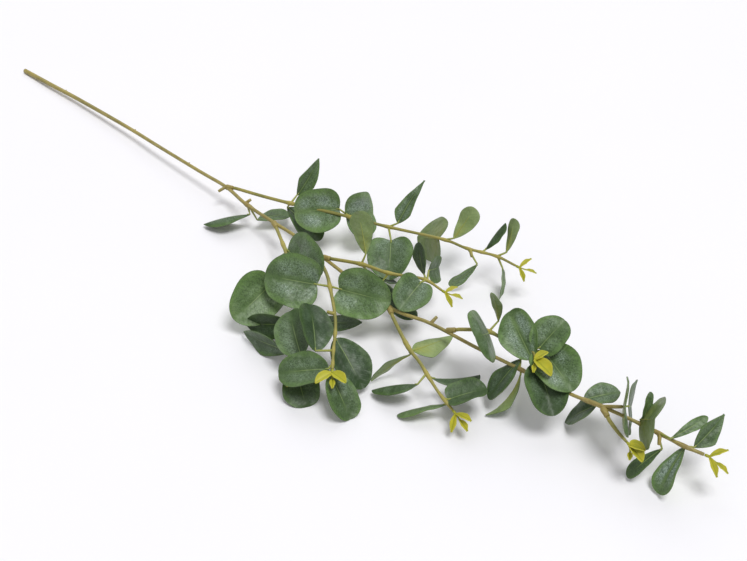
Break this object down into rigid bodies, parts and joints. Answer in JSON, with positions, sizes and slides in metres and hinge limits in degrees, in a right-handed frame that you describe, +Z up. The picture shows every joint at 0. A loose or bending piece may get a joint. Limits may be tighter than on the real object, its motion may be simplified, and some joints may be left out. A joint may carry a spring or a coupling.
{
  "type": "eucalyptus branch",
  "caption": "Long artificial eucalyptus spray lying flat: a slim knuckled stem, plug-in leafy twigs with round and oval leaves, and small yellow-green shoot tips.",
  "frame": {"origin": "centre of the bounding box in X and Y, on the surface that the spray lies on", "axes": "+X from the cut butt of the main stem to its tip, +Y towards the side with the long upper twig, +Z up"},
  "size_m": [0.9124, 0.2538, 0.0781],
  "materials": {
    "stem_olive": "satin olive, a little mottled",
    "leaf_green": "matt blue-green with a pale bloom, a fine woven grain and a pale rib",
    "shoot_yellow": "satin yellow-green"
  },
  "bodies": {
    "root": {"main_stem": "stem_olive", "twig_a": "leaf_green", "twig_b": "leaf_green", "twig_c": "leaf_green", "twig_d": "leaf_green", "twig_e": "leaf_green", "twig_f": "leaf_green", "twig_h": "leaf_green", "shoot_main_stem": "shoot_yellow", "shoot_twig_a": "shoot_yellow", "shoot_twig_b": "shoot_yellow", "shoot_twig_c": "shoot_yellow", "shoot_twig_d": "shoot_yellow", "shoot_twig_e": "shoot_yellow", "shoot_twig_f": "shoot_yellow", "shoot_twig_h": "shoot_yellow"}
  },
  "joints": []
}
